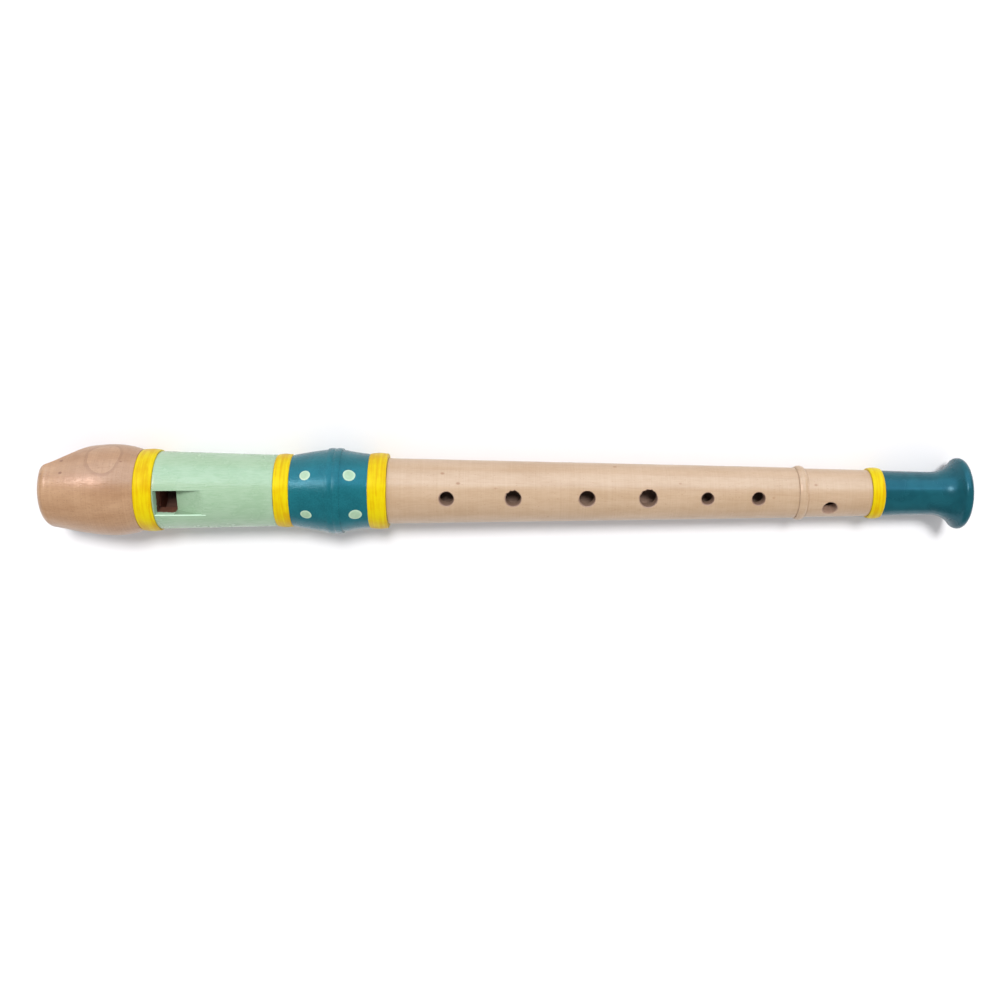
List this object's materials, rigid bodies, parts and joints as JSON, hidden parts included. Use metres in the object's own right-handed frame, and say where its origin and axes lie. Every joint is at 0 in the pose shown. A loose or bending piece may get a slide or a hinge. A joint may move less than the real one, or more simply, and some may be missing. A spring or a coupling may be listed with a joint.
{
  "type": "soprano recorder",
  "caption": "Turned wooden soprano recorder with beak, block, window and labium, corked tenons between its joints, finger and thumb holes, painted rings and a flared bell.",
  "frame": {"origin": "under the middle of the recorder's length, on the plane that its widest turning rests on", "axes": "+X along the bore from the mouthpiece to the bell, +Z the way the finger holes face, +Y to the left of a player who looks down the bore from the beak"},
  "size_m": [0.3228, 0.0322, 0.0322],
  "materials": {
    "oiled_beech": "turned beech, oiled, satin",
    "plain_maple": "turned pale maple, thin clear wax",
    "cedar": "bare red cedar",
    "mint_enamel": "turned wood under brushed mint enamel",
    "yellow_enamel": "turned wood under brushed yellow enamel",
    "teal_enamel": "turned wood under gloss teal enamel, mint dots on the barrel",
    "cork": "natural sheet cork"
  },
  "bodies": {
    "middle": {"middle_joint": "plain_maple"},
    "upper_cork": {"upper_tenon_cork": "cork"},
    "head": {"mouthpiece": "oiled_beech", "beak_ring": "yellow_enamel", "head_tube": "mint_enamel", "barrel_ring": "yellow_enamel", "socket_barrel": "teal_enamel", "socket_ring": "yellow_enamel"},
    "block": {"fipple_block": "cedar"},
    "lower_cork": {"lower_tenon_cork": "cork"},
    "foot": {"foot_joint": "plain_maple", "foot_ring": "yellow_enamel", "foot_bell": "teal_enamel"}
  },
  "joints": [
    {"name": "head_turn", "type": "hinge", "parent": "middle", "child": "upper_cork", "pos_m": [-0.04075, 0, 0.0161], "axis": [1, 0, 0], "continuous": true},
    {"name": "head_pull", "type": "slide", "parent": "upper_cork", "child": "head", "axis": [-1, 0, 0], "range_m": [0, 0.022]},
    {"name": "block_pull", "type": "slide", "parent": "head", "child": "block", "axis": [-1, 0, 0], "range_m": [0, 0.043]},
    {"name": "foot_turn", "type": "hinge", "parent": "middle", "child": "lower_cork", "pos_m": [0.10215, 0, 0.0161], "axis": [1, 0, 0], "continuous": true},
    {"name": "foot_pull", "type": "slide", "parent": "lower_cork", "child": "foot", "axis": [1, 0, 0], "range_m": [0, 0.01]}
  ]
}
